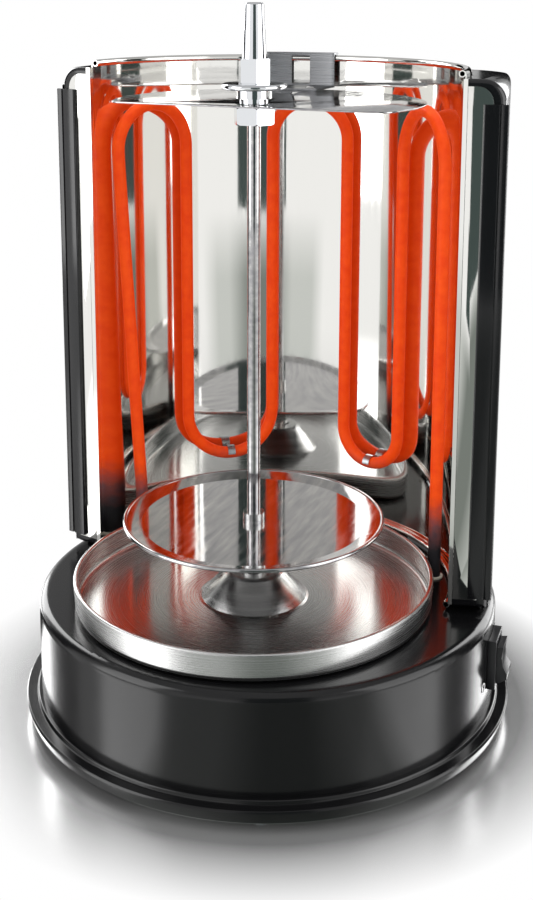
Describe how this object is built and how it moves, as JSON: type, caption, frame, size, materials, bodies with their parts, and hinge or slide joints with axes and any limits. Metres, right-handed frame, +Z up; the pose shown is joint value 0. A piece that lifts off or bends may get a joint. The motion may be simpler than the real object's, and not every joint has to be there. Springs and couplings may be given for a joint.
{
  "type": "electric skewer grill",
  "caption": "Upright electric grill: round black base with a turning skewer and drip tray in front of a half-round mirror reflector with a looped heater.",
  "frame": {"origin": "on the surface, below the middle of the round base", "axes": "+Z up, -Y the open front, +X the right side with the switch"},
  "size_m": [0.3037, 0.3035, 0.432],
  "materials": {
    "black_enamel": "glossy black enamel on pressed steel",
    "black_plastic": "glossy black moulded plastic",
    "switch_plastic": "satin black moulded plastic",
    "foot_rubber": "matt moulded rubber",
    "gland_rubber": "matt black",
    "mirror_steel": "mirror polished stainless steel",
    "polished_steel": "polished stainless steel",
    "brushed_steel": "brushed stainless steel",
    "chrome_plate": "bright chrome plating",
    "turned_steel": "turned steel",
    "zinc_steel": "zinc plated steel",
    "brass": "machined brass",
    "heater_sheath": "oxidised sheath, glowing",
    "ceramic": "unglazed steatite ceramic",
    "nylon": "natural nylon",
    "magnet": "sintered ferrite",
    "lead_sleeve": "silicone sleeve",
    "mark_white": "printed white"
  },
  "bodies": {
    "grill": {"bottom_pan": "black_enamel", "rubber_feet": "foot_rubber", "pan_screws": "zinc_steel", "base_housing": "black_enamel", "inlet_gland": "gland_rubber", "earth_stud": "brass", "drive_bush": "brass", "bush_nut": "zinc_steel", "thrust_washer": "nylon", "idler_pin": "turned_steel", "gearbox_lower_plate": "zinc_steel", "gearbox_upper_plate": "zinc_steel", "gearbox_spacers": "zinc_steel", "hanger_posts": "zinc_steel", "gearbox_screws": "zinc_steel", "motor_can": "zinc_steel", "reflector": "mirror_steel", "reflector_brackets": "zinc_steel", "bracket_screws": "zinc_steel", "wing_plate_left": "mirror_steel", "wing_plate_right": "mirror_steel", "side_casing_left": "black_plastic", "side_casing_right": "black_plastic", "grip_bar_left": "black_plastic", "grip_bar_right": "black_plastic", "grip_screws": "zinc_steel", "casing_screws": "zinc_steel", "heater_tube": "heater_sheath", "heater_bushings": "ceramic", "heater_clips": "zinc_steel", "terminal_block": "ceramic", "thermal_cutout": "zinc_steel", "wiring": "lead_sleeve", "switch_bezel": "switch_plastic", "switch_body": "switch_plastic", "switch_marks": "mark_white"},
    "drive": {"drive_shaft": "turned_steel", "output_gear": "brass"},
    "idler": {"idler_gear": "brass"},
    "rotor": {"motor_rotor": "magnet", "motor_pinion": "brass"},
    "spindle": {"spindle_hub": "turned_steel", "skewer_plate": "polished_steel", "plate_collar": "turned_steel", "spindle_shaft": "polished_steel", "clamp_nut": "chrome_plate", "shaft_collar": "chrome_plate", "washer_disc": "chrome_plate", "hex_shoulder": "chrome_plate", "lift_handle": "chrome_plate"},
    "holder": {"holding_plate": "polished_steel", "rim_hook": "brushed_steel", "hook_rivets": "turned_steel"},
    "tray": {"drip_tray": "brushed_steel", "tray_cone": "turned_steel"},
    "rocker": {"switch_rocker": "switch_plastic"}
  },
  "joints": [
    {"name": "drive_turn", "type": "hinge", "parent": "grill", "child": "drive", "pos_m": [0, -0.0237, 0], "axis": [0, 0, 1], "continuous": true},
    {"name": "idler_turn", "type": "hinge", "parent": "grill", "child": "idler", "pos_m": [0, 0.0123, 0], "axis": [0, 0, 1], "continuous": true},
    {"name": "rotor_turn", "type": "hinge", "parent": "grill", "child": "rotor", "pos_m": [-0.03118, 0.0303, 0], "axis": [0, 0, 1], "continuous": true},
    {"name": "spindle_lift", "type": "slide", "parent": "drive", "child": "spindle", "axis": [0, 0, 1], "range_m": [0, 0.025]},
    {"name": "holder_lift", "type": "slide", "parent": "grill", "child": "holder", "axis": [0, 0, 1], "range_m": [0, 0.025]},
    {"name": "tray_lift", "type": "slide", "parent": "grill", "child": "tray", "axis": [0, 0, 1], "range_m": [0, 0.018]},
    {"name": "rocker_tip", "type": "hinge", "parent": "grill", "child": "rocker", "pos_m": [0.1428, 0.00748, 0.046], "axis": [-0.0523, 0.9986, 0], "range_deg": [-16, 0]}
  ],
  "couplings": [
    {"joint": "idler_turn", "follows": "drive_turn", "ratio": -5},
    {"joint": "rotor_turn", "follows": "drive_turn", "ratio": 25},
    {"joint": "holder_lift", "follows": "spindle_lift", "ratio": 1}
  ]
}
